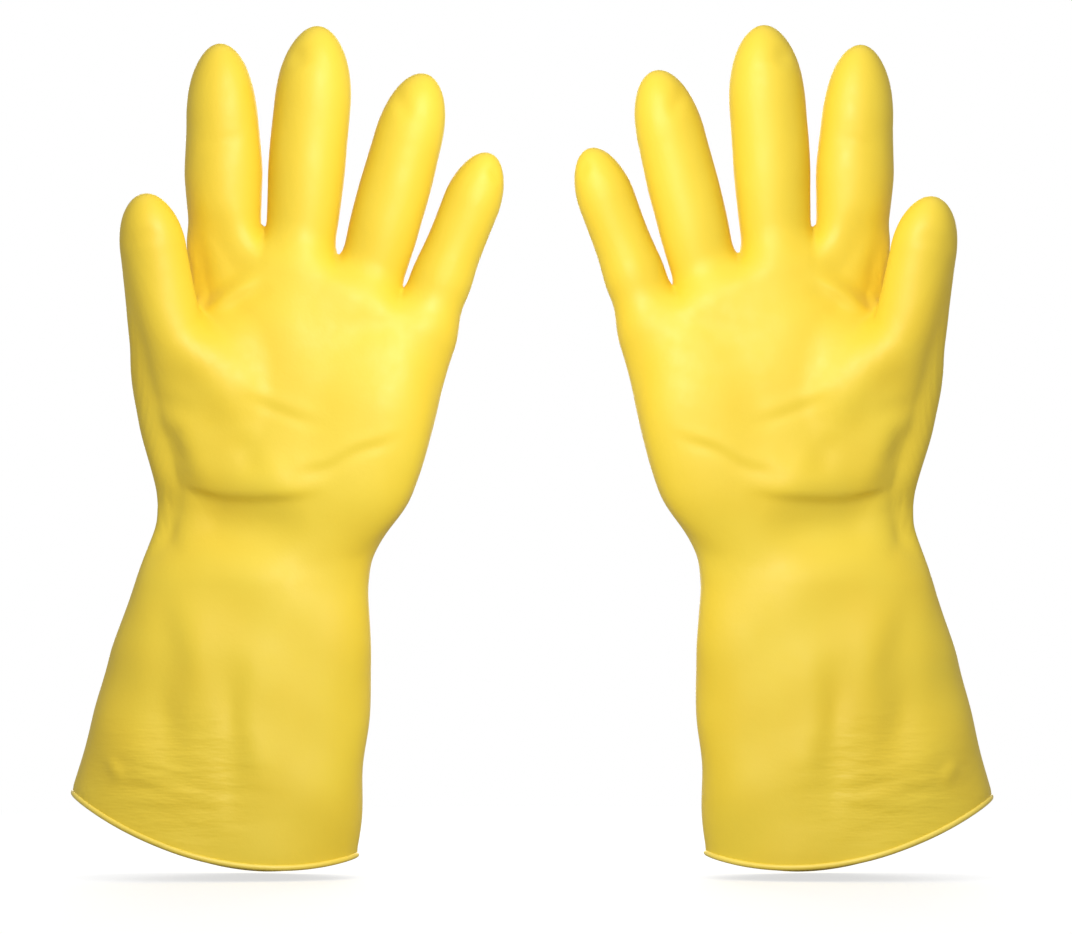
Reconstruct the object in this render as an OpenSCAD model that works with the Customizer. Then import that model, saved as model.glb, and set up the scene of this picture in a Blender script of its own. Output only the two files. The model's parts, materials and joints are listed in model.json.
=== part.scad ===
// A pair of household rubber gloves, fingertips up and palms towards -Y.
// Millimetres. The left-hand glove stands on -X and the right-hand glove on +X.
// Each glove is dipped latex film, a cotton flock lining and a rolled cuff bead.
// Film and lining are divided at the wrist and at two flex lines on each finger.

/* [Pair] */
// How far the left glove's wrist stands left of the middle of the pair
left_wrist_x = 96.44; // [80:0.01:140]
// How far the right glove's wrist stands right of the middle of the pair
right_wrist_x = 98.86; // [80:0.01:140]
// Tilt of the right glove, clockwise from the front
right_tilt = 1.3; // [0:0.1:10]
// Height of the left wrist line above the lowest point of the rim
left_wrist_z = 135.76; // [110:0.01:160]
// Height of the right wrist line above the lowest point of the rim
right_wrist_z = 135.71; // [110:0.01:160]
// Shift that centres the pair front to back
pair_y = 1.7; // [-10:0.1:60]

/* [Film and lining] */
// Thickness of the latex film
film = 0.6; // [0.4:0.1:1]
// Thickness of the flock lining
flock = 0.4; // [0.3:0.1:0.8]
// Gap between lining and film
bond_gap = 0.05; // [0.02:0.01:0.2]
// Radius of the rolled cuff bead
bead_r = 1.1; // [0.8:0.1:2]

/* [Flex lines] */
// Bend of a finger at the knuckle
knuckle_bend = 70; // [40:1:80]
// Bend of a finger at the middle joint
middle_bend = 80; // [40:1:90]
// Bend of the thumb at its base
thumb_bend = 35; // [20:1:50]
// Bend of the thumb at its middle joint
thumb_tip_bend = 50; // [30:1:70]
// Bend of the hand forwards at the wrist
wrist_flex = 45; // [30:1:60]
// Bend of the hand backwards at the wrist
wrist_back = 35; // [20:1:50]
// Running gap between a nested collar and the film around it
nest_gap = 0.4; // [0.3:0.05:0.6]

/* [Hidden] */

latex = [0.96, 0.84, 0.25];
cotton = [0.95, 0.92, 0.80];

// One finger: [hinge point, splay, lean, root radius, middle radius, base length, tip bend,
//              tip length, tip rounding length, knuckle bend, middle bend, root depth]
// Points are in the glove's own frame: the origin is the middle of the wrist.
THUMB = [[-34.3, -12, 56], -8.8, 8.4, 13.7, 12.3, 27.7, 0, 27.5, 20, thumb_bend, thumb_tip_bend, 52];
INDEX = [[-14.5, 0, 104], -1.7, 3, 13.8, 12.9, 29.5, 6, 31.5, 27, knuckle_bend, middle_bend, 36];
MIDDLE = [[13.6, 0, 103], 5, 3, 13.6, 13.4, 33, 6, 35.6, 28, knuckle_bend, middle_bend, 36];
RING = [[42.5, 0, 97], 15.5, 3, 12.8, 12.4, 28.5, 6, 30.5, 26, knuckle_bend, middle_bend, 36];
LITTLE = [[63.8, 0, 80], 21.5, 3, 11, 10.5, 23.5, 6, 25.3, 21, knuckle_bend, middle_bend, 32];
FINGERS = [THUMB, INDEX, MIDDLE, RING, LITTLE];

// Half the flat gap left between two stretches of film at a flex line
edge_gap = 0.3;
// The nested collar steps in from the film by this much
collar_step = film + nest_gap;
// How far the open mouth of a nested collar leans forwards
mouth_lean = 15;
$fn = 48;

// Palm outline, from the wrist (0) to the webs between the fingers (1)
wrist_z = -18;
palm_left = [[0, -42.5], [0.1, -39.3], [0.2, -37.4], [0.35, -40.9], [0.5, -45], [0.58, -46],
    [0.66, -38], [0.72, -31], [0.8, -28.5], [1, -28.4]];
palm_right = [[0, 40.5], [0.1, 45.5], [0.2, 51.3], [0.35, 56.2], [0.5, 59.8], [0.7, 63.8],
    [0.9, 68.1], [1, 70.4]];
palm_depth = [[0, 20], [0.1, 19.5], [0.3, 18], [0.6, 17], [0.85, 15.5], [1, 14.2]];
palm_steps = [0, 0.06, 0.13, 0.16, 0.22, 0.32, 0.42, 0.5, 0.58, 0.66, 0.72, 0.8, 0.9, 1];

// Cuff outline, from the wrist (0) to the rim (1)
cuff_left = [[0, -42.5], [0.17, -47.7], [0.42, -56.3], [0.73, -62.8], [1, -69.7]];
cuff_right = [[0, 40.5], [0.13, 38.2], [0.33, 37.9], [0.58, 37.2], [0.78, 35.7], [1, 33.2]];
cuff_depth = [[0, 20], [0.5, 23.5], [1, 25.5]];
cuff_steps = [0, 0.07, 0.17, 0.3, 0.42, 0.58, 0.73, 0.87, 1];

// Nested oval collar inside the wrist
collar_mid_x = -0.5;
collar_half_x = 37.9;
collar_half_y = 20 - collar_step;

// Every oval ring has this many points; none lies on the wrist hinge line
ring_points = 44;
round_power = 2.25;

function blend(a, b, t) = a + (b - a) * t;
function ring_angle(i) = (i + 0.5) * 360 / ring_points;
function bulge(v) = sign(v) * pow(abs(v), 2 / round_power);
function side(i) = bulge(cos(ring_angle(i)));
function front_back(i) = bulge(sin(ring_angle(i)));

// Height of the V-shaped flex line at the wrist, above the hinge line
function wrist_rise(y) = edge_gap + abs(y) * tan((y < 0 ? wrist_flex : wrist_back) / 2 + 0.5);
// Height of the webs between the fingers at sideways position s (-1 to 1)
function web_z(s) = 96 - 31 * pow(max(0, (21 + 49.4 * s) / 70.4), 1.6);
// Height of the cuff rim: a slanted chord that sags, more at the back than at the front
function rim_z(s, d) = -104.7 - 11.4 * (s + 1) - (14.1 + 1.6 * d) * (1 - s * s);

function palm_point(i, t, inset, top_drop, foot_drop) =
    let (left = lookup(t, palm_left) + inset, right = lookup(t, palm_right) - inset,
         depth = lookup(t, palm_depth) - inset, y = depth * front_back(i))
    [blend(left, right, (side(i) + 1) / 2), y,
     blend(wrist_z + wrist_rise(y) - foot_drop, web_z(side(i)) - top_drop, t)];
function palm_ring(t, inset, top_drop = 0, foot_drop = 0) =
    [for (i = [0:ring_points - 1]) palm_point(i, t, inset, top_drop, foot_drop)];

function cuff_point(i, t, inset, low = 0) =
    let (left = lookup(t, cuff_left) + inset, right = lookup(t, cuff_right) - inset,
         depth = lookup(t, cuff_depth) - inset, y = depth * front_back(i))
    [blend(left, right, (side(i) + 1) / 2), y,
     blend(wrist_z - wrist_rise(y), rim_z(side(i), front_back(i)) - low, t)];
function cuff_ring(t, inset) = [for (i = [0:ring_points - 1]) cuff_point(i, t, inset)];

// Straight sleeve above the wrist hinge, and the barrel that turns about the hinge below it
function sleeve_ring(rise, inset) = [for (i = [0:ring_points - 1])
    [collar_mid_x + (collar_half_x - inset) * side(i), (collar_half_y - inset) * front_back(i),
     wrist_z + rise]];
function barrel_ring(turn, inset) = [for (i = [0:ring_points - 1])
    let (reach = (collar_half_y - inset) * front_back(i),
         down = turn * (reach < 0 ? 1 + 2 * edge_gap : 1.1) * 0.9)
    [collar_mid_x + (collar_half_x - inset) * side(i), reach * cos(min(down, 68)),
     wrist_z - abs(reach) * sin(min(down, 68))]];

function loop_faces(rings, closed) =
    [for (k = [0:rings - (closed ? 1 : 2)], i = [0:ring_points - 1])
        let (a = k * ring_points, b = ((k + 1) % rings) * ring_points, j = (i + 1) % ring_points)
        each [[a + i, b + i, b + j], [a + i, b + j, a + j]]];
function cap_faces(first, up) =
    [for (i = [0:ring_points / 2 - 2])
        let (a = first + i, b = a + 1, c = first + ring_points - 2 - i, d = c + 1)
        each (up ? [[b, a, d], [b, d, c]] : [[a, b, c], [a, c, d]])];

// A solid stack of rings, lowest first
module ring_stack(rings) {
    polyhedron(
        points = [for (ring = rings) each ring],
        faces = concat(loop_faces(len(rings), false), cap_faces(0, false),
            cap_faces((len(rings) - 1) * ring_points, true)),
        convexity = 6);
}

// A thin tube: rings up the outside, then down the inside
module ring_tube(rings) {
    polyhedron(
        points = [for (ring = rings) each ring],
        faces = loop_faces(len(rings), true),
        convexity = 6);
}

// The glove's frame to the pair's frame
module left_side() {
    translate([-left_wrist_x, pair_y, left_wrist_z]) children();
}

module right_side() {
    translate([right_wrist_x, pair_y, right_wrist_z]) rotate([0, right_tilt, 0]) mirror([1, 0, 0]) children();
}

// Frame of a finger's root: Z runs up the finger, X along its hinges, -Y is the palm side
module at_root(f) {
    translate(f[0]) rotate([0, f[1], 0]) rotate([f[2], 0, 0]) children();
}

// Frame of a finger's middle joint
module at_middle(f) {
    at_root(f) translate([0, 0, f[5]]) rotate([f[6], 0, 0]) children();
}

// Everything below a V-shaped flex line: flat behind the hinge, sloping up in front of it
module below_flex_line(r, bend) {
    rise = 2 * r * tan(bend / 2 + 0.5);
    rotate([90, 0, 90]) translate([0, 0, -2 * r]) linear_extrude(4 * r)
        polygon([[0, edge_gap], [-2 * r, edge_gap + rise], [-2 * r, -4 * r],
            [2 * r, -4 * r], [2 * r, edge_gap]]);
}

module above_flex_line(r, bend) {
    mirror([0, 0, 1]) below_flex_line(r, bend);
}

// Room for a finger over its root: its round behind the hinge, its full sweep in front
module finger_room(r, bend) {
    intersection() {
        above_flex_line(r, bend);
        union() {
            translate([0, 0, -r]) cylinder(r = r + nest_gap, h = 3 * r);
            translate([-r - nest_gap, -1.9 * r, -1.6 * r]) cube([2 * (r + nest_gap), 1.9 * r, 3.4 * r]);
        }
    }
}

function sleeve_top(r, bend) = r * tan(bend / 2 + 0.5) + 1;

// Nested collar: a ball about the hinge, a sleeve, and a flare that joins the film at radius r_join
module nested_collar(r, bend, r_join) {
    ball = r - collar_step;
    top = sleeve_top(r, bend);
    difference() {
        rotate_extrude() polygon(concat(
            [for (a = [-90:9:0]) [ball * cos(a), ball * sin(a)]],
            [[ball, top], [r_join - film / 2, top + 1.4], [r_join - film / 2, top + 2.2],
             [ball - film, top + 0.5]],
            [for (a = [0:-9:-90]) [(ball - film) * cos(a), (ball - film) * sin(a)]]));
        rotate([-mouth_lean, 0, 0]) translate([0, 0, -1.5 * r]) cylinder(r = 0.62 * ball, h = 1.5 * r);
    }
}

// Outside of a finger's tip: radius at the middle joint, length and rounding length, all inset
function tip_outline(r, length, rounding, inset) =
    [for (a = [0:6:84]) [(r - inset) * cos(a), length - rounding + (rounding - inset) * sin(a)]];

module finger_base_film(f) {
    r = f[3];
    mid = f[4];
    color(latex) at_root(f) {
        difference() {
            rotate_extrude() polygon([[r - film, 0], [r, 0], [mid, f[5]], [mid - film, f[5]]]);
            below_flex_line(r, f[9]);
            translate([0, 0, f[5]]) rotate([f[6], 0, 0]) above_flex_line(r, f[10]);
        }
        nested_collar(r, f[9], blend(r, mid, (sleeve_top(r, f[9]) + 2) / f[5]));
    }
}

module finger_base_lining(f) {
    r = f[3];
    ball = r - collar_step;
    top = f[5] - (f[4] - collar_step) - 0.6;
    start = sleeve_top(r, f[9]) + 2.4;
    near = ball - film - bond_gap;
    color(cotton) at_root(f) rotate_extrude() polygon([[near - flock, 0.2], [near, 0.2],
        [near, start - 2], [blend(r, f[4], top / f[5]) - film - bond_gap, start + 0.4],
        [blend(r, f[4], top / f[5]) - film - bond_gap, top],
        [blend(r, f[4], top / f[5]) - film - bond_gap - flock, top],
        [blend(r, f[4], top / f[5]) - film - bond_gap - flock, start + 0.8],
        [near - flock, start - 1.6]]);
}

module finger_tip_film(f) {
    r = f[4];
    color(latex) at_middle(f) {
        difference() {
            rotate_extrude() polygon(concat([[r - film, 0], [r, 0]], tip_outline(r, f[7], f[8], 0),
                [[0, f[7]], [0, f[7] - film]], [for (i = [14:-1:0]) tip_outline(r, f[7], f[8], film)[i]]));
            below_flex_line(r, f[10]);
        }
        nested_collar(r, f[10], r * sqrt(1 - pow(max(0, (sleeve_top(r, f[10]) + 2 - f[7] + f[8]) / f[8]), 2)));
    }
}

module finger_tip_lining(f) {
    r = f[4];
    out = film + bond_gap;
    near = r - collar_step - film - bond_gap;
    start = sleeve_top(r, f[10]) + 2.8;
    outer = [for (p = tip_outline(r, f[7], f[8], out)) if (p[1] > start + 1) p];
    inner = [for (p = tip_outline(r, f[7], f[8], out + flock)) if (p[1] > start + 1) p];
    color(cotton) at_middle(f) rotate_extrude() polygon(concat(
        [[near - flock, 0.2], [near, 0.2], [near, start - 2.4]], outer,
        [[0, f[7] - out], [0, f[7] - out - flock]], [for (i = [len(inner) - 1:-1:0]) inner[i]],
        [[near - flock, start - 2]]));
}

// A finger's root in the palm, straight around the nested ball and tapering into the hand
module finger_root(f, inset, over) {
    r = f[3] - inset;
    at_root(f) rotate_extrude() polygon([[0, over], [r, over], [r, -6],
        [0.45 * f[3] - inset, -f[11] + inset], [0, -f[11] + inset]]);
}

module wrist_collar() {
    ring_tube(concat(
        [for (turn = [60:-12:0]) barrel_ring(turn, 0)],
        [sleeve_ring(9.8, 0), palm_ring(0.13, film / 2), palm_ring(0.14, film / 2), sleeve_ring(10.6, film)],
        [for (turn = [0:12:60]) barrel_ring(turn, film)]));
}

module palm_film() {
    color(latex) {
        difference() {
            union() {
                ring_stack([for (t = palm_steps) palm_ring(t, 0)]);
                for (f = FINGERS) finger_root(f, 0, 0);
            }
            ring_stack(concat([palm_ring(0, film, film, 2)], [for (t = palm_steps) palm_ring(t, film, film)]));
            for (f = FINGERS) finger_root(f, film, 2);
            for (f = FINGERS) at_root(f) finger_room(f[3], f[9]);
        }
        wrist_collar();
    }
}

module palm_lining() {
    low = 0.16;
    high = 0.88;
    steps = [low, 0.22, 0.32, 0.42, 0.5, 0.58, 0.66, 0.72, 0.8, high];
    last = len(steps) - 1;
    color(cotton) difference() {
        ring_tube(concat(
            [for (t = steps) palm_ring(t, film + bond_gap, film)],
            [for (k = [last:-1:0]) palm_ring(steps[k], film + bond_gap + flock, film)]));
        at_root(THUMB) translate([0, 0, -THUMB[3]]) cylinder(r = THUMB[3], h = 4 * THUMB[3]);
    }
}

module cuff_film() {
    last = len(cuff_steps) - 1;
    color(latex) ring_tube(concat(
        [for (k = [last:-1:0]) cuff_ring(cuff_steps[k], 0)],
        [for (t = cuff_steps) cuff_ring(t, film)]));
}

module cuff_lining() {
    steps = [0.17, 0.3, 0.42, 0.58, 0.73, 0.87, 0.97];
    last = len(steps) - 1;
    color(cotton) ring_tube(concat(
        [for (k = [last:-1:0]) cuff_ring(steps[k], film + bond_gap)],
        [for (t = steps) cuff_ring(t, film + bond_gap + flock)]));
}

module cuff_bead() {
    sides = 12;
    color(latex) ring_tube([for (k = [0:sides - 1])
        let (a = k * 360 / sides)
        [for (i = [0:ring_points - 1])
            cuff_point(i, 1, film / 2 - bead_r * cos(a), bead_r * 0.8 - bead_r * sin(a))]]);
}

module left_cuff() { left_side() cuff_film(); }
module left_cuff_lining() { left_side() cuff_lining(); }
module left_cuff_bead() { left_side() cuff_bead(); }
module left_palm() { left_side() palm_film(); }
module left_palm_lining() { left_side() palm_lining(); }
module left_thumb_base() { left_side() finger_base_film(THUMB); }
module left_thumb_base_lining() { left_side() finger_base_lining(THUMB); }
module left_thumb_tip() { left_side() finger_tip_film(THUMB); }
module left_thumb_tip_lining() { left_side() finger_tip_lining(THUMB); }
module left_index_base() { left_side() finger_base_film(INDEX); }
module left_index_base_lining() { left_side() finger_base_lining(INDEX); }
module left_index_tip() { left_side() finger_tip_film(INDEX); }
module left_index_tip_lining() { left_side() finger_tip_lining(INDEX); }
module left_middle_base() { left_side() finger_base_film(MIDDLE); }
module left_middle_base_lining() { left_side() finger_base_lining(MIDDLE); }
module left_middle_tip() { left_side() finger_tip_film(MIDDLE); }
module left_middle_tip_lining() { left_side() finger_tip_lining(MIDDLE); }
module left_ring_base() { left_side() finger_base_film(RING); }
module left_ring_base_lining() { left_side() finger_base_lining(RING); }
module left_ring_tip() { left_side() finger_tip_film(RING); }
module left_ring_tip_lining() { left_side() finger_tip_lining(RING); }
module left_little_base() { left_side() finger_base_film(LITTLE); }
module left_little_base_lining() { left_side() finger_base_lining(LITTLE); }
module left_little_tip() { left_side() finger_tip_film(LITTLE); }
module left_little_tip_lining() { left_side() finger_tip_lining(LITTLE); }

module right_cuff() { right_side() cuff_film(); }
module right_cuff_lining() { right_side() cuff_lining(); }
module right_cuff_bead() { right_side() cuff_bead(); }
module right_palm() { right_side() palm_film(); }
module right_palm_lining() { right_side() palm_lining(); }
module right_thumb_base() { right_side() finger_base_film(THUMB); }
module right_thumb_base_lining() { right_side() finger_base_lining(THUMB); }
module right_thumb_tip() { right_side() finger_tip_film(THUMB); }
module right_thumb_tip_lining() { right_side() finger_tip_lining(THUMB); }
module right_index_base() { right_side() finger_base_film(INDEX); }
module right_index_base_lining() { right_side() finger_base_lining(INDEX); }
module right_index_tip() { right_side() finger_tip_film(INDEX); }
module right_index_tip_lining() { right_side() finger_tip_lining(INDEX); }
module right_middle_base() { right_side() finger_base_film(MIDDLE); }
module right_middle_base_lining() { right_side() finger_base_lining(MIDDLE); }
module right_middle_tip() { right_side() finger_tip_film(MIDDLE); }
module right_middle_tip_lining() { right_side() finger_tip_lining(MIDDLE); }
module right_ring_base() { right_side() finger_base_film(RING); }
module right_ring_base_lining() { right_side() finger_base_lining(RING); }
module right_ring_tip() { right_side() finger_tip_film(RING); }
module right_ring_tip_lining() { right_side() finger_tip_lining(RING); }
module right_little_base() { right_side() finger_base_film(LITTLE); }
module right_little_base_lining() { right_side() finger_base_lining(LITTLE); }
module right_little_tip() { right_side() finger_tip_film(LITTLE); }
module right_little_tip_lining() { right_side() finger_tip_lining(LITTLE); }

left_cuff();
left_cuff_lining();
left_cuff_bead();
left_palm();
left_palm_lining();
left_thumb_base();
left_thumb_base_lining();
left_thumb_tip();
left_thumb_tip_lining();
left_index_base();
left_index_base_lining();
left_index_tip();
left_index_tip_lining();
left_middle_base();
left_middle_base_lining();
left_middle_tip();
left_middle_tip_lining();
left_ring_base();
left_ring_base_lining();
left_ring_tip();
left_ring_tip_lining();
left_little_base();
left_little_base_lining();
left_little_tip();
left_little_tip_lining();
right_cuff();
right_cuff_lining();
right_cuff_bead();
right_palm();
right_palm_lining();
right_thumb_base();
right_thumb_base_lining();
right_thumb_tip();
right_thumb_tip_lining();
right_index_base();
right_index_base_lining();
right_index_tip();
right_index_tip_lining();
right_middle_base();
right_middle_base_lining();
right_middle_tip();
right_middle_tip_lining();
right_ring_base();
right_ring_base_lining();
right_ring_tip();
right_ring_tip_lining();
right_little_base();
right_little_base_lining();
right_little_tip();
right_little_tip_lining();
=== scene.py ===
"""Looks for a pair of household rubber gloves: one skin of satin latex per glove, lined with flock."""

import json
import math

import bpy
import numpy as np
from mathutils import Matrix, Vector


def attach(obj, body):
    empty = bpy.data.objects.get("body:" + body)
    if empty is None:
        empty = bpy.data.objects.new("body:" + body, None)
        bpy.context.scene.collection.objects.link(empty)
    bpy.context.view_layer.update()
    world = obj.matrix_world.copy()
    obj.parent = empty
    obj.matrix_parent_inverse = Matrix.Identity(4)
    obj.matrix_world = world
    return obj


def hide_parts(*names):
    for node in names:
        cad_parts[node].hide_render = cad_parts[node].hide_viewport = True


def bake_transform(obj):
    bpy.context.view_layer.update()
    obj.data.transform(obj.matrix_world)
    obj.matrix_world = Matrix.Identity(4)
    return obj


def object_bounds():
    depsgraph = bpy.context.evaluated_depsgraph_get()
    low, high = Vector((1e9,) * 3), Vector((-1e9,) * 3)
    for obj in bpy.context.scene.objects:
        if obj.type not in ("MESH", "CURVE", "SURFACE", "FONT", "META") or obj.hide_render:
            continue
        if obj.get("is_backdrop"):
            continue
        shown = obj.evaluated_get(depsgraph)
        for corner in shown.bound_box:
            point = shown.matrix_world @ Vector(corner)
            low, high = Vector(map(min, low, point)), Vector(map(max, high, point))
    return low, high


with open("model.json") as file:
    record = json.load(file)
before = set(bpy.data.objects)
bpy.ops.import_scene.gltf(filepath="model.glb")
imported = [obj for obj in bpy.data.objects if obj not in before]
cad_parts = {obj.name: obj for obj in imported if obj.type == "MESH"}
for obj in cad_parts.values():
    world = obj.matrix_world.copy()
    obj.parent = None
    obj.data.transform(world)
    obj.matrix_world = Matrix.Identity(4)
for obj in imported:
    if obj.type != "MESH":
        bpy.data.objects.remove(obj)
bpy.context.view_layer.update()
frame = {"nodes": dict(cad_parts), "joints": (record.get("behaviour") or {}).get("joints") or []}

MM = 0.001
GRID = 1.25  # spacing of the sampling grid, in mm
FILM = 0.6  # latex film thickness, in mm
FLOCK = 0.4  # flock lining thickness, in mm
BOND_GAP = 0.05  # gap between film and flock, in mm
BEAD_R = 1.1  # radius of the rolled bead at the rim, in mm
FINGERS = ("thumb", "index", "middle", "ring", "little")

# ---------------------------------------------------------------- shaping helpers

WAVE_COUNT = 10  # sine waves added up in one pattern of unevenness
WAVE_SIZES = (0.7, 1.5)  # shortest and longest of them, as shares of the pattern's size


def bell(d, width):
    """1 at distance 0, falling off over the width."""
    return np.exp(-((d / width) ** 2))


def smooth_step(t):
    """0 below 0, 1 above 1, and a smooth rise between."""
    t = np.clip(t, 0.0, 1.0)
    return t * t * (3 - 2 * t)


def along_line(x, z, start, end):
    """(share of the way along, signed distance across) for points near a line in the front plane."""
    ax, az = start
    dx, dz = end[0] - ax, end[1] - az
    length = math.hypot(dx, dz)
    t = ((x - ax) * dx + (z - az) * dz) / length**2
    across = ((x - ax) * dz - (z - az) * dx) / length
    return t, across


def smoothed(values, reach):
    """values averaged over a bell of that reach, with the ends held."""
    x = np.arange(-2 * reach, 2 * reach + 1)
    shares = np.exp(-0.5 * (x / (0.5 * reach)) ** 2)
    padded = np.pad(values, 2 * reach, mode="reflect", reflect_type="odd")
    return np.convolve(padded, shares / shares.sum(), mode="valid")


def soft_min(a, b, k):
    """The smaller of two distances, with a rounded joint of size k where they meet."""
    h = np.maximum(k - np.abs(a - b), 0.0) / k
    return np.minimum(a, b) - h * h * k * 0.25


def soft_max(a, b, k):
    """The larger of two distances, with the same rounded joint."""
    return -soft_min(-a, -b, k)


def waves(p, seed, size):
    """Slow unevenness of dipped film, from a few fixed sine waves."""
    rng = np.random.default_rng(seed)
    out = np.zeros(len(p))
    for _ in range(WAVE_COUNT):
        direction = rng.normal(size=3)
        direction /= np.linalg.norm(direction)
        phase = rng.uniform(0, 2 * math.pi)
        out += np.sin(p @ direction * 2 * math.pi / (size * rng.uniform(*WAVE_SIZES)) + phase)
    return out / WAVE_COUNT


# ---------------------------------------------------------------- the frame

JOINTS = {j["name"]: j for j in frame["joints"]}


def joint_point(name):
    """A hinge's point in millimetres, in the pair's frame."""
    return np.array(JOINTS[name]["pos_m"], float) / MM


# The left glove is shaped in its own frame, whose origin is the middle of the wrist.
WRIST_HINGE = np.array([-0.5, 0.0, -18.0])
LEFT_ORIGIN = joint_point("left_wrist") - WRIST_HINGE


def left_local(name):
    """A hinge's point in the left glove's own frame."""
    return joint_point(name) - LEFT_ORIGIN


# Radius along a finger: pairs of (height above the root hinge, radius), in mm
GIRTH = {
    "thumb": ((-56, 7.0), (-30, 12.6), (-8, 13.9), (4, 13.6), (20, 12.4), (32, 11.9)),
    "index": ((-48, 7.0), (-20, 12.0), (0, 13.4), (14, 14.1), (24, 13.4), (34, 12.9)),
    "middle": ((-48, 7.0), (-20, 12.0), (0, 13.3), (14, 13.8), (26, 13.8), (40, 13.8)),
    "ring": ((-46, 7.0), (-20, 11.4), (0, 12.7), (14, 12.9), (24, 12.6), (34, 12.3)),
    "little": ((-42, 6.0), (-20, 10.0), (0, 11.2), (8, 10.6), (18, 10.4), (26, 10.2)),
}
ROUNDING = {"thumb": 21.0, "index": 29.0, "middle": 29.0, "ring": 26.0, "little": 20.0}  # length of the tip
FLATNESS = {"thumb": 0.95, "index": 0.92, "middle": 0.92, "ring": 0.92, "little": 0.93}  # depth over width
AXIS_START = -60.0  # a finger's axis is followed down to this height, in mm above its root hinge
CURL_SOFTNESS = 6.0  # length over which a finger starts to lean forwards, in mm
GIRTH_SMOOTHING = 5


def finger_shape(name):
    """A finger's own axes, lengths and radii, taken from its two hinges and its CAD tip."""
    root = left_local(f"left_{name}_root")
    middle = left_local(f"left_{name}_middle")
    across = np.array(JOINTS[f"left_{name}_root"]["axis"], float)
    up = np.array([-across[2], 0.0, across[0]])
    tip_node = frame["nodes"][f"left_{name}_tip"]
    points = np.array([v.co for v in tip_node.data.vertices], float) / MM - LEFT_ORIGIN
    height = float(((points - root) @ up).max())
    tip_y = float(points[((points - root) @ up).argmax()][1])
    first = float((middle - root) @ up)
    lean = -(middle[1] - root[1]) / first
    extra = max(0.0, -(tip_y - root[1]) / height - lean)
    heights = np.arange(AXIS_START, height + 2.0, 1.0)
    radii = smoothed(np.interp(heights, *zip(*GIRTH[name])), GIRTH_SMOOTHING)
    return {
        "name": name,
        "root": root,
        "across": across,
        "up": up,
        "first": first,
        "height": height,
        "lean": lean,
        "extra": extra * height / max(height - first, 1.0),
        "heights": heights,
        "radii": radii,
        "foot": GIRTH[name][0][0],
        "rounding": ROUNDING[name],
        "flat": FLATNESS[name],
    }


# ---------------------------------------------------------------- the hollow form

# Outline of cuff and palm: (height, left edge), (height, right edge), (height, half depth)
LEFT_EDGE = (
    (-155, -84), (-104, -69.6), (-81, -62.8), (-54, -56.2), (-32, -47.7), (-16, -41.9), (-6, -38.4),
    (5, -37.2), (12, -37.7), (27, -42.2), (40, -45), (50, -44), (60, -35), (68, -27.5),
    (78, -24), (88, -25), (98, -28.3), (120, -28.3),
)
RIGHT_EDGE = (
    (-155, 30), (-127, 33.2), (-103, 35.7), (-81, 37.2), (-54, 37.9), (-32, 37.3), (-22, 38.8), (-11, 44.6),
    (0, 51.8), (11, 56.0), (32, 62.0), (54, 67.4), (66, 70.4), (80, 71.5), (120, 71.5),
)
HALF_DEPTH = (
    (-155, 26.5), (-125, 26), (-90, 24.5), (-55, 22), (-25, 18.6), (-12, 18.4), (2, 19.6), (25, 18.6),
    (50, 16.8), (75, 14.6), (95, 12.2), (120, 11.5),
)
TABLE_Z = np.arange(-155.0, 121.0, 1.0)
LEFT_X = smoothed(np.interp(TABLE_Z, *zip(*LEFT_EDGE)), 5)
RIGHT_X = smoothed(np.interp(TABLE_Z, *zip(*RIGHT_EDGE)), 5)
DEPTH_Y = smoothed(np.interp(TABLE_Z, *zip(*HALF_DEPTH)), 8)
ROUND_POWER = 2.3  # 2 makes level sections of cuff and palm true ellipses; more makes them boxier
WEB_SLOPE = 0.88  # steepness of the palm's top edge in the distance field
# How softly neighbouring shapes run into each other, in mm
WEB_ROUNDING = 9.0
MOUND_MERGE = 8.0
FINGER_MERGE = 1.0
KNUCKLE_MERGE = 9.0
THUMB_MERGE = (2.5, 12.5)  # at the web, and low on the palm
THUMB_MERGE_TOP = 71.0  # height below which the thumb's merge grows softer
THUMB_MERGE_FADE = 16.0

# Soft mounds of the palm: centre, radii, turn about Y in degrees
MOUNDS = (
    ((-20, -9.5, 33), (17, 12, 31), 14),
    ((38, -8, 24), (19, 10.5, 38), 12),
)


def web_height(x):
    """Height of the webs between the fingers, falling towards the little finger."""
    return np.interp(x, (-30, 2, 14, 26, 38, 50, 62, 74), (93, 92, 90, 85, 78, 71.5, 66, 60))


def ellipsoid(x, y, z, radii):
    """Signed distance, roughly, to an ellipsoid about the origin."""
    k0 = np.sqrt((x / radii[0]) ** 2 + (y / radii[1]) ** 2 + (z / radii[2]) ** 2) + 1e-9
    k1 = np.sqrt((x / radii[0] ** 2) ** 2 + (y / radii[1] ** 2) ** 2 + (z / radii[2] ** 2) ** 2) + 1e-9
    return k0 * (k0 - 1.0) / k1


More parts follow.
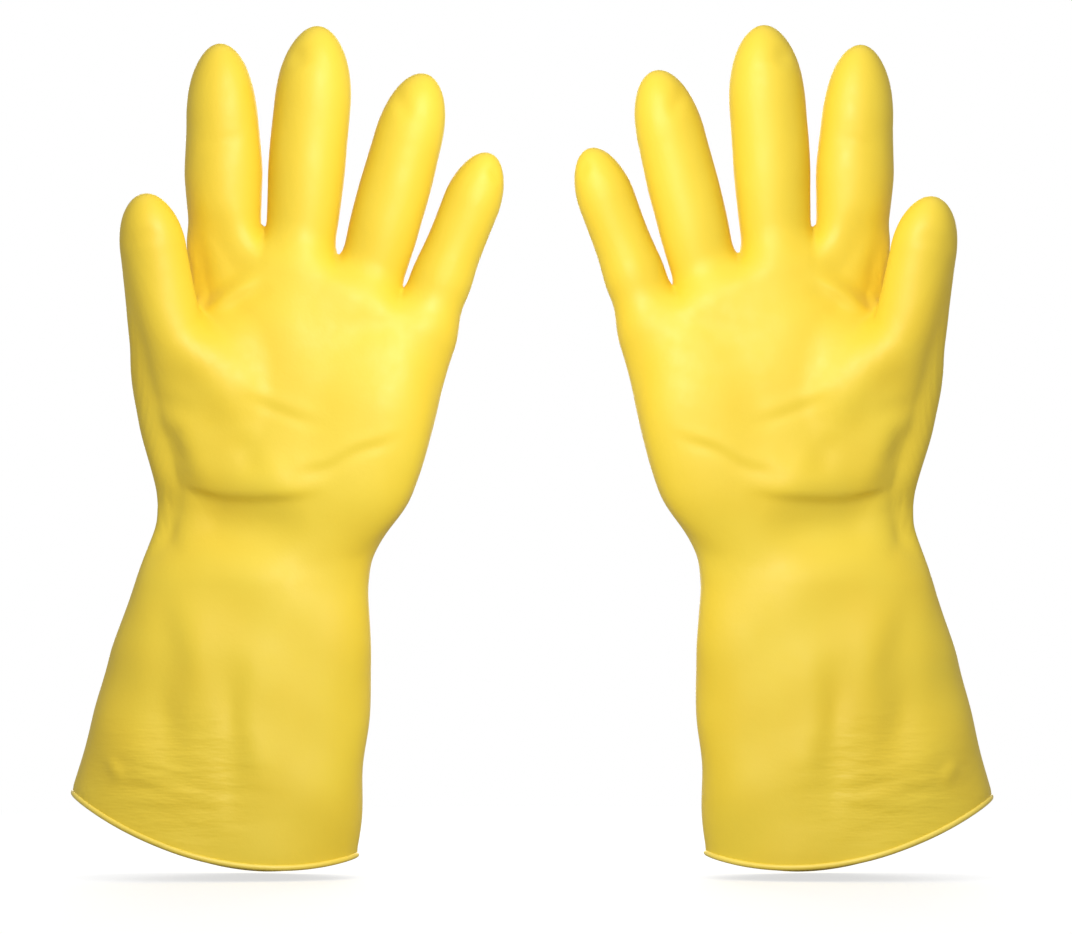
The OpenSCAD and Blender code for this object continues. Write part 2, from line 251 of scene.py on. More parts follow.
def body_field(p):
    """Signed distance, roughly, to the cuff and palm."""
    x, y, z = p[:, 0], p[:, 1], p[:, 2]
    left = np.interp(z, TABLE_Z, LEFT_X)
    right = np.interp(z, TABLE_Z, RIGHT_X)
    depth = np.interp(z, TABLE_Z, DEPTH_Y)
    half = (right - left) / 2
    u = np.abs(x - (left + right) / 2) / half
    v = np.abs(y) / depth
    n = (u**ROUND_POWER + v**ROUND_POWER) ** (1 / ROUND_POWER) + 1e-9
    slope = np.sqrt((u ** (ROUND_POWER - 1) / half) ** 2 + (v ** (ROUND_POWER - 1) / depth) ** 2)
    slope = slope / n ** (ROUND_POWER - 1)
    ring = (n - 1.0) / np.maximum(slope, 1e-3)
    shape = soft_max(ring, (z - web_height(x)) * WEB_SLOPE, WEB_ROUNDING)
    for centre, radii, turn in MOUNDS:
        dx, dy, dz = x - centre[0], y - centre[1], z - centre[2]
        c, s = math.cos(math.radians(turn)), math.sin(math.radians(turn))
        mound = ellipsoid(dx * c - dz * s, dy, dx * s + dz * c, radii)
        shape = soft_min(shape, mound, MOUND_MERGE)
    return shape


def finger_coordinates(p, f):
    """Across, front-to-back and along coordinates of points in a finger's own frame."""
    d = p - f["root"]
    along = d @ f["up"]
    curl = CURL_SOFTNESS * np.logaddexp(0.0, (along - f["first"]) / CURL_SOFTNESS)
    y = d[:, 1] + f["lean"] * np.maximum(along, AXIS_START) + f["extra"] * curl
    return d @ f["across"], y, along


def finger_field(p, f):
    """Signed distance, roughly, to one finger and the part of it that is buried in the palm."""
    x, y, along = finger_coordinates(p, f)
    radius = np.interp(along, f["heights"], f["radii"])
    y = y / f["flat"]
    tube = np.sqrt(x * x + y * y) - radius
    crown = f["height"] - f["rounding"]
    at_crown = float(np.interp(crown, f["heights"], f["radii"]))
    tip = ellipsoid(x, y, along - crown, (at_crown, at_crown, f["rounding"]))
    low = along - f["foot"]
    foot = np.sqrt(x * x + y * y + low * low) - f["radii"][0]
    return np.where(along > crown, tip, np.where(low < 0, foot, tube))


def hand_field(p, shapes):
    """Signed distance to everything but the thumb."""
    fields = {f["name"]: finger_field(p, f) for f in shapes if f["name"] != "thumb"}
    hand = fields["index"]
    for name in ("middle", "ring", "little"):
        hand = soft_min(hand, fields[name], FINGER_MERGE)
    return soft_min(hand, body_field(p), KNUCKLE_MERGE)


def glove_field(p, shapes):
    """Signed distance to the whole glove; the thumb is the first of the shapes."""
    low = smooth_step((THUMB_MERGE_TOP - p[:, 2]) / THUMB_MERGE_FADE)
    merge = THUMB_MERGE[0] + (THUMB_MERGE[1] - THUMB_MERGE[0]) * low
    return soft_min(hand_field(p, shapes), finger_field(p, shapes[0]), merge)


def surface_nets(values, low):
    """A quad mesh of the zero surface of a sampled field."""
    inside = values < 0
    shape = np.array(values.shape)
    cells = shape - 1
    total = np.zeros(tuple(cells) + (3,))
    count = np.zeros(tuple(cells))
    corners = [(i, j, k) for i in (0, 1) for j in (0, 1) for k in (0, 1)]
    edges = [(a, b) for a in corners for b in corners if a < b and sum(abs(np.subtract(a, b))) == 1]
    for a, b in edges:
        sa = tuple(slice(a[d], a[d] + cells[d]) for d in range(3))
        sb = tuple(slice(b[d], b[d] + cells[d]) for d in range(3))
        cross = inside[sa] != inside[sb]
        where = np.nonzero(cross)
        va, vb = values[sa][where], values[sb][where]
        t = (va / (va - vb))[:, None]
        total[where] += np.array(a) + t * (np.array(b) - np.array(a))
        count[where] += 1
    active = count > 0
    index = -np.ones(tuple(cells), int)
    index[active] = np.arange(active.sum())
    base = np.argwhere(active)
    points = low + GRID * (base + total[active] / count[active][:, None])
    quads = []
    for axis in range(3):
        step = np.zeros(3, int)
        step[axis] = 1
        span = [slice(1, cells[d]) for d in range(3)]
        span[axis] = slice(0, cells[axis])
        near = tuple(span)
        far = tuple(slice(span[d].start + step[d], span[d].stop + step[d]) for d in range(3))
        flips = inside[near] != inside[far]
        where = np.argwhere(flips) + np.array([s.start for s in span])
        b, c = (axis + 1) % 3, (axis + 2) % 3
        eb, ec = np.zeros(3, int), np.zeros(3, int)
        eb[b], ec[c] = 1, 1
        ring = [where - eb - ec, where - ec, where, where - eb]
        quad = np.stack([index[tuple(r.T)] for r in ring], 1)
        outward = inside[tuple(where.T)]
        quad[~outward] = quad[~outward][:, ::-1]
        quads.append(quad)
    return points, np.concatenate(quads)


def field_slope(p, field):
    """The field's gradient, which points out of the glove."""
    step = 0.4
    return np.stack([field(p + step * e) - field(p - step * e) for e in np.eye(3)], 1) / (2 * step)


def onto_surface(p, field, rounds=3):
    """The points moved along the field's slope onto its zero surface."""
    for _ in range(rounds):
        g = field_slope(p, field)
        p = p - g * (field(p) / np.maximum((g * g).sum(1), 0.05))[:, None]
    return p


def edge_list(quads):
    """Every quad's four directed edges."""
    return np.concatenate([quads[:, (i, (i + 1) % 4)] for i in range(4)])


def relaxed(p, quads, share=0.5):
    """Each point moved part of the way to the middle of its neighbours."""
    e = edge_list(quads)
    total = np.zeros_like(p)
    count = np.zeros(len(p))
    np.add.at(total, e[:, 0], p[e[:, 1]])
    np.add.at(total, e[:, 1], p[e[:, 0]])
    np.add.at(count, e.ravel(), 1)
    middle = total / np.maximum(count, 1)[:, None]
    return p + share * (middle - p)


def point_normals(p, quads):
    """Unit normals of the points, averaged over the quads round them."""
    a, b, c, d = (p[quads[:, i]] for i in range(4))
    face = np.cross(c - a, d - b)
    n = np.zeros_like(p)
    for i in range(4):
        np.add.at(n, quads[:, i], face)
    return n / np.maximum(np.linalg.norm(n, axis=1), 1e-12)[:, None]


# ---------------------------------------------------------------- folds and creases


# Lines of the front: start, end, width, height (a negative height is a crease)
FRONT_FOLDS = (
    ((-18, 70), (-5, 77.5), 2.2, 0.7),
    ((-12, 69), (0, 76), 3.0, -0.6),
    ((6, 72), (14, 36), 15.0, 1.3),
    ((-27, 58), (-4, 35), 8.0, 1.7),
    ((-34, 44), (-14, 24), 9.0, -1.6),
    ((-5, 36), (18, 28), 2.4, -0.32),
    ((-5, 40), (18, 32), 3.0, 0.25),
    ((14, 8), (44, 20), 2.4, -0.5),
    ((14, 12), (44, 24), 3.0, 0.3),
    ((-40, 35), (-25, 31), 3.6, -0.5),
    ((-29, 26), (-23, 6), 4.5, 0.5),
    ((-36, 24), (-32, 12), 5.0, -0.6),
    ((-7, 22), (-3, 9), 5.0, -0.6),
    ((-40, -8), (-33, -19), 3.5, -0.5),
    ((-34, -36), (-35, -88), 6.0, -1.2),
    ((-24, -48), (-24, -90), 6.0, 0.6),
    ((-11, -64), (-11, -108), 4.5, -1.1),
    ((-3, -60), (-2, -104), 6.0, 0.6),
    ((14, -44), (17, -96), 8.0, -0.7),
    ((-56, -94), (-52, -100), 2.4, 0.7),
    ((12, 163), (14, 157), 3.5, -0.8),
    ((46, 149), (52, 139), 3.0, -0.7),
    ((82, 120), (84, 115), 2.4, -0.6),
    ((-22, 128), (-8, 131), 3.0, -0.4),
    ((-50, 92), (-38, 95), 3.0, -0.5),
    ((30, 60), (52, 66), 5.0, -0.5),
)

FOLD_DRIFT = 2.2  # how far a fold may wander off its straight line, in mm
THENAR_LINE = ((-28, 60), (14, 0))  # the palm falls away on the thumb's side of this line
THENAR_FALL = 5.5
POCKET_LINE = ((2, 82), (-23, 66))  # above it the palm falls into the pocket behind the thumb
POCKET_FALL = 3.4

# The back of the hand: tendons from knuckle to wrist, then folds as above
TENDONS = (((-13, 96), (-6, 25)), ((14, 96), (6, 25)), ((41, 90), (20, 24)), ((60, 76), (32, 22)))
TENDON_WIDTH = 5.0
BACK_FOLDS = (
    ((-30, -14), (28, -18), 3.0, -0.8),
    ((-22, -24), (30, -27), 4.5, -0.6),
    ((-20, -45), (-26, -100), 7.0, -1.3),
    ((14, -52), (10, -104), 7.0, -1.1),
)


def fold_relief(x, z, folds, overrun, ends, drift=0.0):
    """Summed height of some folds. Each runs on by overrun and fades over ends, as shares of its length."""
    out = np.zeros_like(x)
    for start, end, width, height in folds:
        t, across = along_line(x, z, start, end)
        fade = smooth_step((t + overrun) / ends) * smooth_step((1 + overrun - t) / ends)
        out += height * fade * bell(across + drift, width)
    return out


def heel_relief(x, z):
    """The heel of the hand: a swell, then a crease with a lip, then a hollow over the wrist."""
    above = z - (0.6 + 0.0035 * (x + 4) ** 2)
    swell = 1.7 * bell(above - 6.5, 8.0)
    lip = 0.8 * np.tanh(above / 1.3) * bell(above, 5.5)
    hollow = -1.9 * bell(above + 10.0, 9.0)
    reach = smooth_step((x + 36) / 18) * smooth_step((26 - x) / 24)
    return reach * (swell + lip + hollow)


def front_relief(p):
    """How far the front stands out, in mm, from its soft folds, creases and the heel of the hand."""
    x, z = p[:, 0], p[:, 2]
    folds = fold_relief(x, z, FRONT_FOLDS, 0.3, 0.6, FOLD_DRIFT * waves(p, 7, 26))
    beyond = along_line(x, z, *THENAR_LINE)[1]
    fall = THENAR_FALL * smooth_step(beyond / 34) * smooth_step((z + 30) / 26)
    return folds - fall + heel_relief(x, z)


def pocket_depth(p, shapes):
    """How far the palm falls back between the thumb and the index finger."""
    t, beyond = along_line(p[:, 0], p[:, 2], *POCKET_LINE)
    off_thumb = smooth_step((finger_field(p, shapes[0]) - hand_field(p, shapes)) / 4)
    extent = smooth_step((t + 0.1) / 0.5) * smooth_step((36 - beyond) / 20)
    return POCKET_FALL * off_thumb * extent * smooth_step(beyond / 7.5)


def back_relief(x, z):
    """How far the back stands out, in mm, from faint tendons and wrist folds."""
    out = fold_relief(x, z, BACK_FOLDS, 0.15, 0.3)
    for start, end in TENDONS:
        t, across = along_line(x, z, start, end)
        fade = smooth_step((t + 0.1) / 0.4) * smooth_step((1.1 - t) / 0.5)
        out += fade * bell(across, TENDON_WIDTH)
    return out


def crinkles(p):
    """Fine level wrinkles low on the front of the cuff."""
    area = bell(p[:, 0] + 30, 22) * bell(p[:, 2] + 102, 15)
    squeezed = p * np.array([0.35, 0.35, 1.0])
    return area * (0.5 * waves(squeezed, 9, 5.6) + 0.6 * waves(squeezed, 11, 9.0))


def pressed(p, quads, shapes):
    """The points pushed in or out by folds, creases and unevenness; the cuff is the less even part."""
    n = point_normals(p, quads)
    front = smooth_step((-n[:, 1] - 0.05) / 0.75)
    back = smooth_step((n[:, 1] - 0.05) / 0.75)
    push = front * (front_relief(p) + crinkles(p) - pocket_depth(p, shapes))
    push += back * back_relief(p[:, 0], p[:, 2])
    low = smooth_step((20 - p[:, 2]) / 60)
    push += waves(p, 2, 34) * (0.45 + 0.9 * low) + 0.12 * waves(p, 3, 13)
    return p + n * push[:, None]


# ---------------------------------------------------------------- rim and pieces


def rim_height(x, y):
    """Height of the cuff's edge: a slanted chord that sags, more at the back than at the front."""
    u = np.clip((x + 18.2) / 51.5, -1.05, 1.05)
    sag = 14.1 + 1.9 * np.clip(y / 25.0, -1, 1)
    return -104.7 - 11.4 * (u + 1) - sag * (1 - u * u)


def trimmed(p, quads):
    """The mesh above the rim, its lowest points moved onto the rim's curve."""
    above = p[:, 2] > rim_height(p[:, 0], p[:, 1])
    quads = quads[above[quads].all(1)]
    used = np.unique(quads)
    new = -np.ones(len(p), int)
    new[used] = np.arange(len(used))
    p, quads = p[used], new[quads]
    loop = rim_loop(quads)
    p[loop, 2] = rim_height(p[loop, 0], p[loop, 1])
    return p, quads, loop


def open_edges(quads):
    """Directed edges with a quad on one side only."""
    e = edge_list(quads)
    key = e[:, 0] * (quads.max() + 1) + e[:, 1]
    back = e[:, 1] * (quads.max() + 1) + e[:, 0]
    return e[~np.isin(key, back)]


def rim_loop(quads):
    """The points of the mesh's one open edge, in order."""
    follow = {int(a): int(b) for a, b in open_edges(quads)}
    start = next(iter(follow))
    loop = [start]
    while follow[loop[-1]] != start:
        loop.append(follow[loop[-1]])
    return np.array(loop)


GRID_LOW = np.array([-90.0, -40.0, -152.0])  # corners of the sampled space, in the left glove's own frame
GRID_HIGH = np.array([98.0, 36.0, 178.0])


def build_glove():
    """Points, quads, normals and rim of the left glove's outside, in its own frame."""
    shapes = [finger_shape(n) for n in FINGERS]

    def field(p):
        return glove_field(p, shapes)

    axes = [np.arange(GRID_LOW[d], GRID_HIGH[d], GRID) for d in range(3)]
    values = np.empty([len(a) for a in axes])
    yy, zz = np.meshgrid(axes[1], axes[2], indexing="ij")
    for i, x in enumerate(axes[0]):
        slab = np.stack([np.full(yy.size, x), yy.ravel(), zz.ravel()], 1)
        values[i] = field(slab).reshape(yy.shape)
    values[:, :, 0] = np.abs(values[:, :, 0])  # closes the cuff at the bottom, where it is cut off later
    p, quads = surface_nets(values, GRID_LOW)
    p = onto_surface(p, field)
    for _ in range(3):
        p = onto_surface(relaxed(p, quads), field, 1)
    p = pressed(p, quads, shapes)
    p, quads, loop = trimmed(p, quads)
    return p, quads, point_normals(p, quads), loop, shapes


# Bend zones: heights above the root hinge where the root bend starts and ends,
# then half the length of the middle joint's bend zone
BEND = {
    "thumb": (-9.0, 16.5, 9.5),
    "index": (-3.0, 18.0, 10.0),
    "middle": (-3.0, 20.0, 11.0),
    "ring": (-3.0, 17.6, 10.0),
    "little": (-3.0, 13.0, 9.0),
}
WRIST_ZONE = 20.0  # half the length of the wrist's bend zone
SKIN_REACH = 2.5  # a quad this near a finger's shape can belong to that finger, in mm


def regions(centre, shapes):
    """The piece each quad belongs to: cuff, wrist, palm, or a finger's root or tip."""
    names = np.full(len(centre), "palm", dtype=object)
    names[centre[:, 2] < WRIST_HINGE[2] + WRIST_ZONE] = "wrist"
    names[centre[:, 2] < WRIST_HINGE[2] - WRIST_ZONE] = "cuff"
    fields = np.stack([finger_field(centre, f) for f in shapes], 1)
    nearest = fields.argmin(1)
    for i, f in enumerate(shapes):
        along = finger_coordinates(centre, f)[2]
        split = (BEND[f["name"]][1] + f["first"] - BEND[f["name"]][2]) / 2
        on = (nearest == i) & (fields[:, i] < SKIN_REACH) & (along > BEND[f["name"]][0])
        names[on] = f["name"] + "_root"
        names[on & (along > split)] = f["name"] + "_tip"
    return names


def to_side(side):
    """4x4 from the left glove's own frame, in mm, to the pair's frame, in metres."""
    if side == "left":
        return Matrix.Translation(Vector(LEFT_ORIGIN * MM)) @ Matrix.Scale(MM, 4)
    hinge, far = joint_point("right_wrist"), joint_point("right_middle_root")
    across = far - hinge
    own = (left_local("left_middle_root") - WRIST_HINGE) * np.array([-1, 1, 1])
    turn = math.atan2(across[0], across[2]) - math.atan2(own[0], own[2])
    mirror = Matrix.Diagonal((-1, 1, 1, 1))
    start = Vector(WRIST_HINGE * np.array([-1, 1, 1]))
    spin = Matrix.Rotation(turn, 4, "Y")
    shift = Matrix.Translation(Vector(hinge) - spin @ start)
    return Matrix.Scale(MM, 4) @ shift @ spin @ mirror


def moved(matrix, points):
    """Points taken through a 4x4 matrix."""
    m = np.array(matrix)
    return points @ m[:3, :3].T + m[:3, 3]


def add_mesh(name, points, faces, normals, material, rest):
    """A mesh object with per-corner normals and a rest-place attribute for its texture."""
    mesh = bpy.data.meshes.new(name)
    mesh.from_pydata(points.tolist(), [], faces.tolist())
    mesh.polygons.foreach_set("use_smooth", np.ones(len(faces), bool))
    place = mesh.attributes.new("rest_place", "FLOAT_VECTOR", "POINT")
    place.data.foreach_set("vector", rest.astype(np.float32).ravel())
    mesh.materials.append(material)
    mesh.update()
    if normals is not None:
        mesh.normals_split_custom_set(normals.tolist())
    piece = bpy.data.objects.new(name, mesh)
    bpy.context.scene.collection.objects.link(piece)
    return piece


def shell(glove, chosen, outer_inset, thickness, flip):
    """A closed thin shell over some quads of the glove: (points, faces, corner normals)."""
    p, quads, n = glove[0], glove[1][chosen], glove[2]
    used = np.unique(quads)
    new = -np.ones(len(p), int)
    new[used] = np.arange(len(used))
    q = new[quads]
    outer = p[used] - n[used] * outer_inset
    inner = p[used] - n[used] * (outer_inset + thickness)
    count = len(used)
    edges = open_edges(q)
    walls = np.stack([edges[:, 1], edges[:, 0], edges[:, 0] + count, edges[:, 1] + count], 1)
    points = np.concatenate([outer, inner])
    faces = np.concatenate([q, q[:, ::-1] + count, walls])
    wall_n = np.cross(points[walls[:, 1]] - points[walls[:, 0]], points[walls[:, 3]] - points[walls[:, 0]])
    wall_n /= np.maximum(np.linalg.norm(wall_n, axis=1), 1e-9)[:, None]
    corner = np.concatenate([
        n[used][q].reshape(-1, 3), -n[used][q[:, ::-1]].reshape(-1, 3), np.repeat(wall_n, 4, 0)])
    if flip:
        corner = corner.reshape(-1, 4, 3)[:, ::-1].reshape(-1, 3)
        faces = faces[:, ::-1]
    return points, faces, corner


def place_shell(side, name, glove, chosen, inset, thickness, material):
    """One layer of one region as an object, and its points in the left glove's own frame."""
    matrix = to_side(side)
    points, faces, corner = shell(glove, chosen, inset, thickness, side == "right")
    turn = np.array(matrix)[:3, :3]
    corner = corner @ turn.T
    corner /= np.maximum(np.linalg.norm(corner, axis=1), 1e-12)[:, None]
    world = moved(matrix, points)
    return add_mesh(f"{side}_{name}", world, faces, corner, material, world), points


def bend_piece(piece, side, region):
    """Hangs a cuff or palm piece on its body; a wrist or finger piece only gets its transform baked in and
    hangs on no body.
    """
    if region in ("cuff", "palm"):
        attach(piece, f"{side}_{region}")
        return
    if region == "wrist":
        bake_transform(piece)
        return
    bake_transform(piece)


BEAD_SIDES = 12
BEAD_DROP = 0.5  # how far the bead's middle hangs below the film's edge, in mm
BEAD_INSET = 0.3  # how far it sits inside the film's outer face, in mm


def evened(ring, rounds=6):
    """A closed run of rows, each averaged with its neighbours a few times."""
    for _ in range(rounds):
        ring = 0.5 * ring + 0.25 * (np.roll(ring, 1, 0) + np.roll(ring, -1, 0))
    return ring


def add_bead(side, glove, material):
    """The rolled edge: a round tube along the rim."""
    p, loop = glove[0], glove[3]
    path = evened(p[loop])
    path[:, 2] = rim_height(path[:, 0], path[:, 1]) - BEAD_DROP
    run = np.roll(path, -1, 0) - np.roll(path, 1, 0)
    run /= np.linalg.norm(run, axis=1)[:, None]
    out = evened(glove[2][loop])
    out -= run * (out * run).sum(1)[:, None]
    out /= np.linalg.norm(out, axis=1)[:, None]
    down = np.cross(run, out)
    path = path - out * BEAD_INSET
    rings = [
        path + BEAD_R * (math.cos(a) * out + math.sin(a) * down)
        for a in (2 * math.pi * k / BEAD_SIDES for k in range(BEAD_SIDES))
    ]
    count = len(path)
    points = np.concatenate(rings)
    i = np.arange(count)
    j = (i + 1) % count
    faces = []
    for k in range(BEAD_SIDES):
        a, b = k * count, ((k + 1) % BEAD_SIDES) * count
        faces.append(np.stack([a + i, a + j, b + j, b + i], 1))
    faces = np.concatenate(faces)
    middle = points[faces].mean(1) - np.tile(path[i], (BEAD_SIDES, 1))
    normal = np.cross(points[faces[:, 2]] - points[faces[:, 0]], points[faces[:, 3]] - points[faces[:, 1]])
    inward = (middle * normal).sum() < 0
    if inward != (side == "right"):
        faces = faces[:, ::-1]
    world = moved(to_side(side), points)
    piece = add_mesh(f"{side}_cuff_bead_roll", world, faces, None, material, world)
    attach(piece, f"{side}_cuff")
    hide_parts(f"{side}_cuff_bead")
    return piece


# ---------------------------------------------------------------- materials


def new_material(name):
    """An empty material with a Principled shader: (material, nodes, links, shader)."""
    material = bpy.data.materials.new(name)
    material.use_nodes = True
    nodes = material.node_tree.nodes
    nodes.clear()
    shader = nodes.new("ShaderNodeBsdfPrincipled")
    output = nodes.new("ShaderNodeOutputMaterial")
    material.node_tree.links.new(shader.outputs[0], output.inputs[0])
    return material, nodes, material.node_tree.links, shader


def noise(nodes, links, place, scale, detail, rough=0.5):
    """A noise pattern over the rest place; scale is in waves a metre."""
    node = nodes.new("ShaderNodeTexNoise")
    node.inputs["Scale"].default_value = scale
    node.inputs["Detail"].default_value = detail
    node.inputs["Roughness"].default_value = rough
    links.new(place, node.inputs["Vector"])
    return node.outputs["Fac"]


def between(nodes, links, fac, low, high, from_low=0.0, from_high=1.0):
    """A value mapped from one range onto another."""
    node = nodes.new("ShaderNodeMapRange")
    node.inputs["From Min"].default_value = from_low
    node.inputs["From Max"].default_value = from_high
    node.inputs["To Min"].default_value = low
    node.inputs["To Max"].default_value = high
    links.new(fac, node.inputs["Value"])
    return node.outputs["Result"]


def mixed(nodes, links, fac, low, high):
    """A colour between two colours."""
    node = nodes.new("ShaderNodeMix")
    node.data_type = "RGBA"
    node.inputs["A"].default_value = (*low, 1)
    node.inputs["B"].default_value = (*high, 1)
    links.new(fac, node.inputs["Factor"])
    return node.outputs["Result"]


def rest_place(nodes):
    """The place that a point has at rest, so that patterns don't swim when a joint moves."""
    node = nodes.new("ShaderNodeAttribute")
    node.attribute_name = "rest_place"
    return node.outputs["Vector"]


def add_bumps(nodes, links, shader, layers):
    """Chains bump layers of (height, strength, depth in metres) into the shader's normal."""
    normal = None
    for height, strength, depth in layers:
        bump = nodes.new("ShaderNodeBump")
        bump.inputs["Strength"].default_value = strength
        bump.inputs["Distance"].default_value = depth
        links.new(height, bump.inputs["Height"])
        if normal is not None:
            links.new(normal, bump.inputs["Normal"])
        normal = bump.outputs["Normal"]
    links.new(normal, shader.inputs["Normal"])


def vector_step(nodes, links, operation, first, second=None):
    """One vector operation's result."""
    node = nodes.new("ShaderNodeVectorMath")
    node.operation = operation
    links.new(first, node.inputs[0])
    if second:
        node.inputs[1].default_value = second
    return node.outputs["Value" if operation == "LENGTH" else "Vector"]


CRINKLE_PLACE = (0.130, 0.02, 0.034)  # middle of the crinkled patch, mirrored for the other glove
CRINKLE_REACH = (0.040, 0.06, 0.034)


def crinkle_height(nodes, links, place):
    """Fine level wrinkles low on the outer side of each cuff."""
    squeezed = vector_step(nodes, links, "MULTIPLY", place, (0.25, 0.25, 1.0))
    wrinkles = noise(nodes, links, squeezed, 300, 2, 0.55)
    mirrored = vector_step(nodes, links, "ABSOLUTE", place)
    away = vector_step(nodes, links, "SUBTRACT", mirrored, CRINKLE_PLACE)
    away = vector_step(nodes, links, "DIVIDE", away, CRINKLE_REACH)
    near = between(nodes, links, vector_step(nodes, links, "LENGTH", away), 1.0, 0.0, 0.3, 1.0)
    both = nodes.new("ShaderNodeMath")
    both.operation = "MULTIPLY"
    links.new(wrinkles, both.inputs[0])
    links.new(near, both.inputs[1])
    return both.outputs[0]


def latex_material(name, pale, deep, rough):
    """Satin dipped latex: slow patches of colour, uneven sheen, fine bumps and the cuff's crinkles."""
    material, nodes, links, shader = new_material(name)
    place = rest_place(nodes)
    patches = between(nodes, links, noise(nodes, links, place, 22, 3), 0, 1, 0.35, 0.65)
    links.new(mixed(nodes, links, patches, deep, pale), shader.inputs["Base Color"])
    sheen = noise(nodes, links, place, 160, 4)
    links.new(between(nodes, links, sheen, rough - 0.05, rough + 0.06, 0.3, 0.7), shader.inputs["Roughness"])
    shader.inputs["Specular IOR Level"].default_value = 0.5
    add_bumps(nodes, links, shader, (
        (crinkle_height(nodes, links, place), 0.42, 0.0012),
        (noise(nodes, links, place, 70, 3, 0.5), 0.12, 0.0010),
        (noise(nodes, links, place, 900, 3, 0.6), 0.12, 0.0003),
    ))
    return material


def flock_material():
    """Short cotton fibres glued to the film's inside."""
    material, nodes, links, shader = new_material("flock")
    place = rest_place(nodes)
    fibres = noise(nodes, links, place, 1400, 4, 0.7)
    colour = mixed(nodes, links, fibres, (0.70, 0.62, 0.38), (0.90, 0.85, 0.66))
    links.new(colour, shader.inputs["Base Color"])
    shader.inputs["Roughness"].default_value = 0.95
    shader.inputs["Sheen Weight"].default_value = 0.3
    add_bumps(nodes, links, shader, ((fibres, 0.7, 0.0004),))
    return material


# ---------------------------------------------------------------- build

glove = build_glove()
points, quads, shapes = glove[0], glove[1], glove[4]
names = regions(points[quads].mean(1), shapes)
latex = latex_material("latex", (0.86, 0.64, 0.046), (0.85, 0.605, 0.037), 0.50)
bead_latex = latex_material("bead_latex", (0.96, 0.74, 0.12), (0.92, 0.68, 0.08), 0.42)
flock = flock_material()
STANDS_FOR = {"cuff": "cuff", "palm": "palm", "wrist": None}
for finger in FINGERS:
    STANDS_FOR[finger + "_root"] = finger + "_base"
    STANDS_FOR[finger + "_tip"] = finger + "_tip"

LAYERS = (
    ("skin", 0.0, FILM, latex, "film", ""),
    ("flock", FILM + BOND_GAP, FLOCK, flock, "flock", "_lining"),
)
GLOVES = {side: bpy.data.collections.new(f"{side}_glove") for side in ("left", "right")}
for side in GLOVES:
    for region, node in STANDS_FOR.items():
        chosen = names == region
        for layer, inset, thickness, material, slot, suffix in LAYERS:
            piece, own = place_shell(side, f"{region}_{layer}", glove, chosen, inset, thickness, material)
            GLOVES[side].objects.link(piece)
            bend_piece(piece, side, region)
            if node:
                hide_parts(f"{side}_{node}{suffix}")
    GLOVES[side].objects.link(add_bead(side, glove, bead_latex))

# ---------------------------------------------------------------- studio

FLOOR_HALF = 8.0
floor_mesh = bpy.data.meshes.new("floor")
floor_corners = [(x * FLOOR_HALF, y * FLOOR_HALF, -0.0005) for x, y in ((-1, -1), (1, -1), (1, 1), (-1, 1))]
floor_mesh.from_pydata(floor_corners, [], [(0, 1, 2, 3)])
floor = bpy.data.objects.new("floor", floor_mesh)
bpy.context.scene.collection.objects.link(floor)
AMBIENT = 0.48  # strength of the even light from all round
PAPER_SHINE = 0.68  # brightness the camera adds to the paper beside the gloves
PAPER_FADE = (0.16, 0.5)  # distances from the middle between which the paper turns plain white, in metres


def by_ray(nodes, links, lighting, seen):
    """One value for the light a surface gives and another for what the camera sees."""
    path = nodes.new("ShaderNodeLightPath")
    return between(nodes, links, path.outputs["Is Camera Ray"], lighting, seen)


def joined(nodes, links, kind, first, second):
    """A mix or add node fed by two shaders."""
    node = nodes.new(kind)
    sockets = [i for i in node.inputs if i.type == "SHADER"]
    links.new(first, sockets[0])
    links.new(second, sockets[1])
    return node


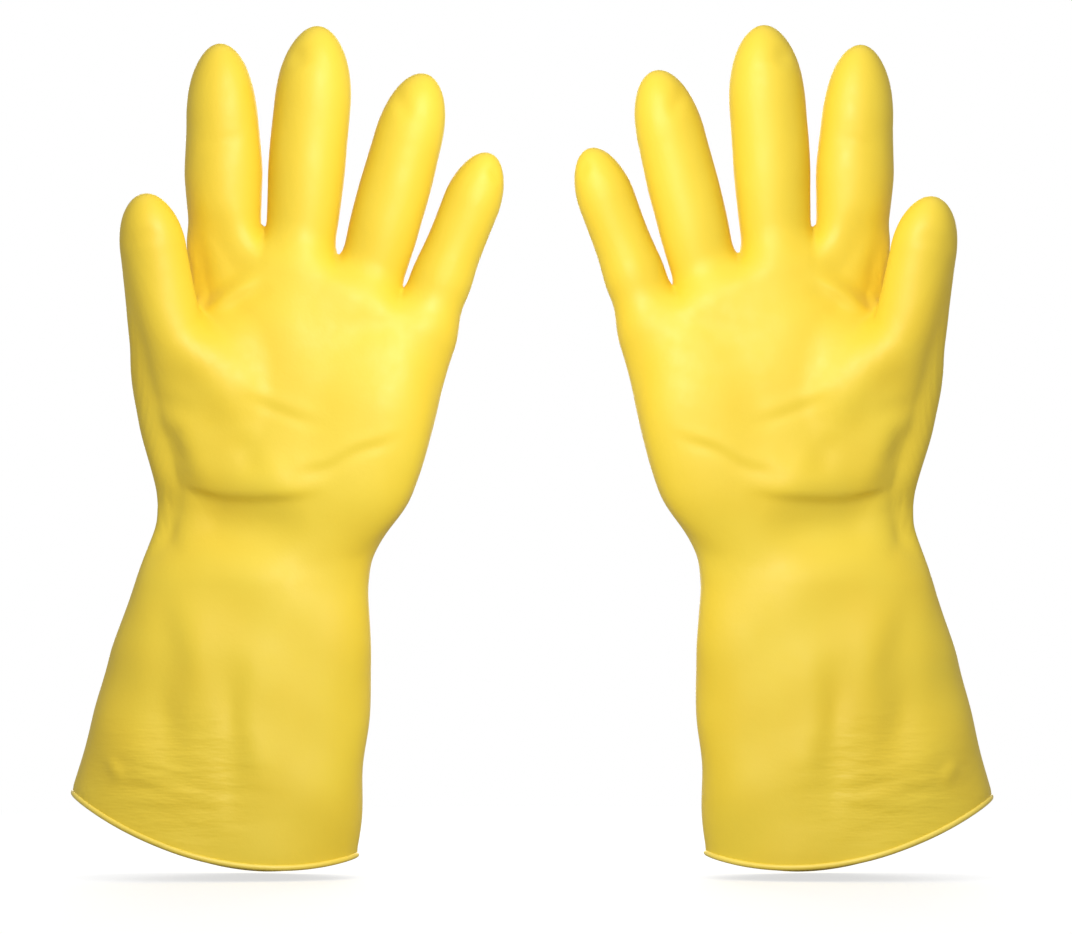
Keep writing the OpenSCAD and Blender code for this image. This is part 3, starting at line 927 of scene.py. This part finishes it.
def paper_material():
    """Bright white paper with soft shadows by the gloves, fading into plain white away from them."""
    material, nodes, links, shader = new_material("paper")
    shader.inputs["Base Color"].default_value = (0.5, 0.5, 0.5, 1)
    shader.inputs["Roughness"].default_value = 0.9
    shader.inputs["Specular IOR Level"].default_value = 0.1
    shine, glow = nodes.new("ShaderNodeEmission"), nodes.new("ShaderNodeEmission")
    links.new(by_ray(nodes, links, 0.0, PAPER_SHINE), shine.inputs["Strength"])
    links.new(by_ray(nodes, links, AMBIENT, 1.0), glow.inputs["Strength"])
    near = joined(nodes, links, "ShaderNodeAddShader", shader.outputs[0], shine.outputs[0])
    reach = vector_step(nodes, links, "LENGTH", nodes.new("ShaderNodeNewGeometry").outputs["Position"])
    mix = joined(nodes, links, "ShaderNodeMixShader", near.outputs[0], glow.outputs[0])
    fade = between(nodes, links, reach, 0.0, 1.0, *PAPER_FADE)
    links.new(fade, mix.inputs["Fac"])
    output = next(n for n in nodes if n.type == "OUTPUT_MATERIAL")
    links.new(mix.outputs[0], output.inputs["Surface"])
    return material


floor_mesh.materials.append(paper_material())
floor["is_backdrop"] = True


def area_light(name, place, target, size, power, only=None):
    """A soft lamp; with `only`, it lights just that collection."""
    data = bpy.data.lights.new(name, "AREA")
    data.shape = "RECTANGLE"
    data.size, data.size_y = size
    data.energy = power
    lamp = bpy.data.objects.new(name, data)
    bpy.context.scene.collection.objects.link(lamp)
    lamp.location = place
    lamp.rotation_mode = "QUATERNION"
    lamp.rotation_quaternion = (Vector(target) - Vector(place)).to_track_quat("-Z", "Y")
    lamp.visible_camera = False
    if only:
        lamp.light_linking.receiver_collection = only


low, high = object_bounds()
middle = (low + high) / 2
for side, inward in (("left", 1), ("right", -1)):
    glove_middle = Vector((-0.085 * inward, 0.0, 0.18))
    place = glove_middle + Vector((0.17 * inward, -0.40, 0.15))
    area_light(f"{side}_key", place, glove_middle, (0.24, 0.20), 1.72, GLOVES[side])
area_light("top", (0.0, -0.1, 1.8), middle, (1.6, 1.4), 3.8)
area_light("back", (0.0, 1.4, 0.45), middle, (1.0, 0.8), 11)

world = bpy.data.worlds.new("studio")
world.use_nodes = True
sky = world.node_tree
sky.nodes["Background"].inputs["Color"].default_value = (1.0, 1.0, 1.0, 1)
sky.links.new(by_ray(sky.nodes, sky.links, AMBIENT, 1.0), sky.nodes["Background"].inputs["Strength"])
bpy.context.scene.world = world
bpy.context.scene.view_settings.view_transform = "Standard"
bpy.context.scene.view_settings.look = "None"

camera_data = bpy.data.cameras.new("camera")
camera = bpy.data.objects.new("camera", camera_data)
bpy.context.scene.collection.objects.link(camera)
SHOT_WIDTH = 0.387  # width of the picture at the gloves, in metres
SHOT_DISTANCE = 2.4
camera_data.sensor_width = 36
camera_data.lens = 36 * SHOT_DISTANCE / SHOT_WIDTH
camera.location = (0.0014, -SHOT_DISTANCE, 0.1477)
camera.rotation_euler = (math.radians(90), 0, 0)
camera_data.clip_end = 50
bpy.context.scene.camera = camera
